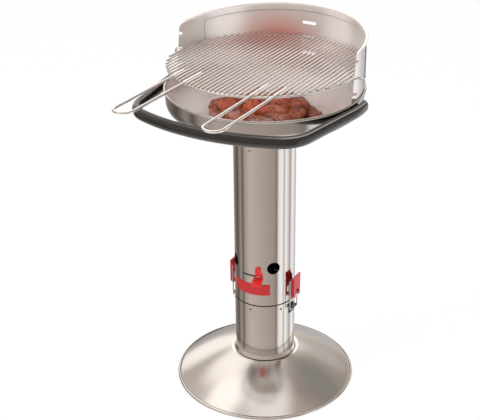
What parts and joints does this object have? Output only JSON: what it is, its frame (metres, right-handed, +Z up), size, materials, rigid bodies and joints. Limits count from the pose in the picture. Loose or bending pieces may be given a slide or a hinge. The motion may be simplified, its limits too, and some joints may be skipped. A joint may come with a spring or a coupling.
{
  "type": "charcoal grill",
  "caption": "Free-standing charcoal grill: bell foot, ash pot, air pillar with damper and latches, deep bowl, wind shield, height-set cooking grid and bumper bar.",
  "frame": {"origin": "on the floor under the pillar's axis, in the plane of the foot's flat rim", "axes": "+Z up along the pillar, -Y to the front where the grid's handles point, +X to the right"},
  "size_m": [0.5364, 0.7106, 0.982],
  "materials": {
    "stainless_sheet": "satin, drawn along the sheet",
    "plain_steel": "plain rolled",
    "zinc_fixings": "zinc plated",
    "latch_steel": "bright zinc plated",
    "red_paint": "gloss powder coat",
    "dark_paint": "satin black",
    "chromed_wire": "bright chromed",
    "black_bumper": "satin black powder coat",
    "black_spacer": "matt",
    "grate_iron": "enamelled and sooty",
    "glowing_coal": "burnt charcoal with glowing cracks"
  },
  "bodies": {
    "stand": {"base_bell": "stainless_sheet", "ash_pot": "stainless_sheet", "pillar_tube": "stainless_sheet", "bowl": "stainless_sheet", "wind_shield": "stainless_sheet", "joining_sleeve": "plain_steel", "bowl_neck": "plain_steel", "pot_washers": "zinc_fixings", "pot_bolt": "zinc_fixings", "pot_lock_nut": "zinc_fixings", "sleeve_rivets": "zinc_fixings", "bracket_rivets": "zinc_fixings", "catch_rivets": "zinc_fixings", "neck_screws": "zinc_fixings", "bowl_bolts": "zinc_fixings", "bowl_nuts": "zinc_fixings", "shield_screws": "zinc_fixings", "shield_nuts": "zinc_fixings", "bumper_bolts": "zinc_fixings", "latch_bracket_right": "latch_steel", "latch_bracket_left": "latch_steel", "latch_pin_right": "latch_steel", "latch_pin_left": "latch_steel", "badge_plate": "red_paint", "latch_catch_right": "dark_paint", "latch_catch_left": "dark_paint", "bumper_bar": "black_bumper", "bumper_spacers": "black_spacer", "charcoal_grate": "grate_iron", "charcoal": "glowing_coal"},
    "damper": {"damper_band": "plain_steel", "damper_lever": "red_paint", "damper_screw": "zinc_fixings", "damper_lock_nut": "zinc_fixings"},
    "lever_right": {"latch_lever_right": "red_paint"},
    "lever_left": {"latch_lever_left": "red_paint"},
    "bail_right": {"latch_bail_right": "latch_steel"},
    "bail_left": {"latch_bail_left": "latch_steel"},
    "grid": {"grid_ring": "chromed_wire", "grid_bars": "chromed_wire", "grid_support_rod": "chromed_wire", "grid_handle_left": "chromed_wire", "grid_handle_right": "chromed_wire", "grid_rear_tab": "chromed_wire"}
  },
  "joints": [
    {"name": "damper_turn", "type": "hinge", "parent": "stand", "child": "damper", "pos_m": [0, 0, 0.339], "axis": [0, 0, 1], "range_deg": [-32, 0]},
    {"name": "grid_draw", "type": "slide", "parent": "stand", "child": "grid", "axis": [0, -0.9659, 0.2588], "range_m": [0, 0.25]},
    {"name": "latch_right_open", "type": "hinge", "parent": "stand", "child": "lever_right", "pos_m": [0.089, 0, 0.267], "axis": [0, 1, 0], "range_deg": [0, 100]},
    {"name": "bail_right_swing", "type": "hinge", "parent": "lever_right", "child": "bail_right", "pos_m": [0.088, 0, 0.312], "axis": [0, 1, 0], "range_deg": [-70, 0]},
    {"name": "latch_left_open", "type": "hinge", "parent": "stand", "child": "lever_left", "pos_m": [-0.089, 0, 0.267], "axis": [0, -1, 0], "range_deg": [0, 100]},
    {"name": "bail_left_swing", "type": "hinge", "parent": "lever_left", "child": "bail_left", "pos_m": [-0.088, 0, 0.312], "axis": [0, -1, 0], "range_deg": [-70, 0]}
  ],
  "couplings": [
    {"joint": "bail_right_swing", "follows": "latch_right_open", "ratio": -0.7},
    {"joint": "bail_left_swing", "follows": "latch_left_open", "ratio": -0.7}
  ]
}
